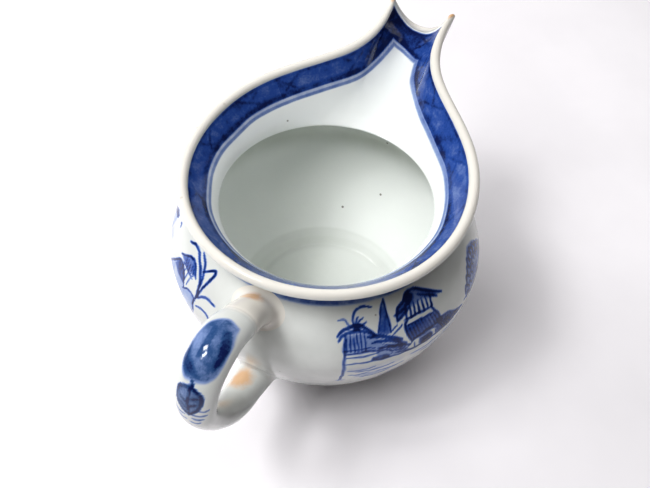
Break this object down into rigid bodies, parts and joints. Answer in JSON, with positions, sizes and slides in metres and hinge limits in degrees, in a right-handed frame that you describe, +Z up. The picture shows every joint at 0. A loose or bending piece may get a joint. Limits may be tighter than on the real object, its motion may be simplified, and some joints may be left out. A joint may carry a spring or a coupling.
{
  "type": "cream jug",
  "caption": "Squat porcelain cream jug with a flared collar, a long two-pointed pouring spout, a strap handle and a turned foot ring.",
  "frame": {"origin": "on the table, midway between the handle's outermost bend and the end of the spout, in the plane of symmetry", "axes": "+X points out of the spout and -X to the handle, +Z is up, the foot stands on z = 0"},
  "size_m": [0.1552, 0.104, 0.095],
  "materials": {
    "body_glaze": "glossy bluish-white glaze over hand-painted cobalt strokes",
    "collar_glaze": "glossy glaze, warm white lip, cobalt band and line inside",
    "handle_glaze": "glossy glaze with cobalt dabs and iron-orange stains",
    "foot_clay": "bare fired clay on the standing edge, glaze above it"
  },
  "bodies": {
    "root": {"foot_ring": "foot_clay", "lower_body": "body_glaze", "upper_body": "body_glaze", "collar": "collar_glaze", "spout": "collar_glaze", "handle_upper_terminal": "handle_glaze", "handle_loop": "handle_glaze", "handle_lower_terminal": "handle_glaze"}
  },
  "joints": []
}
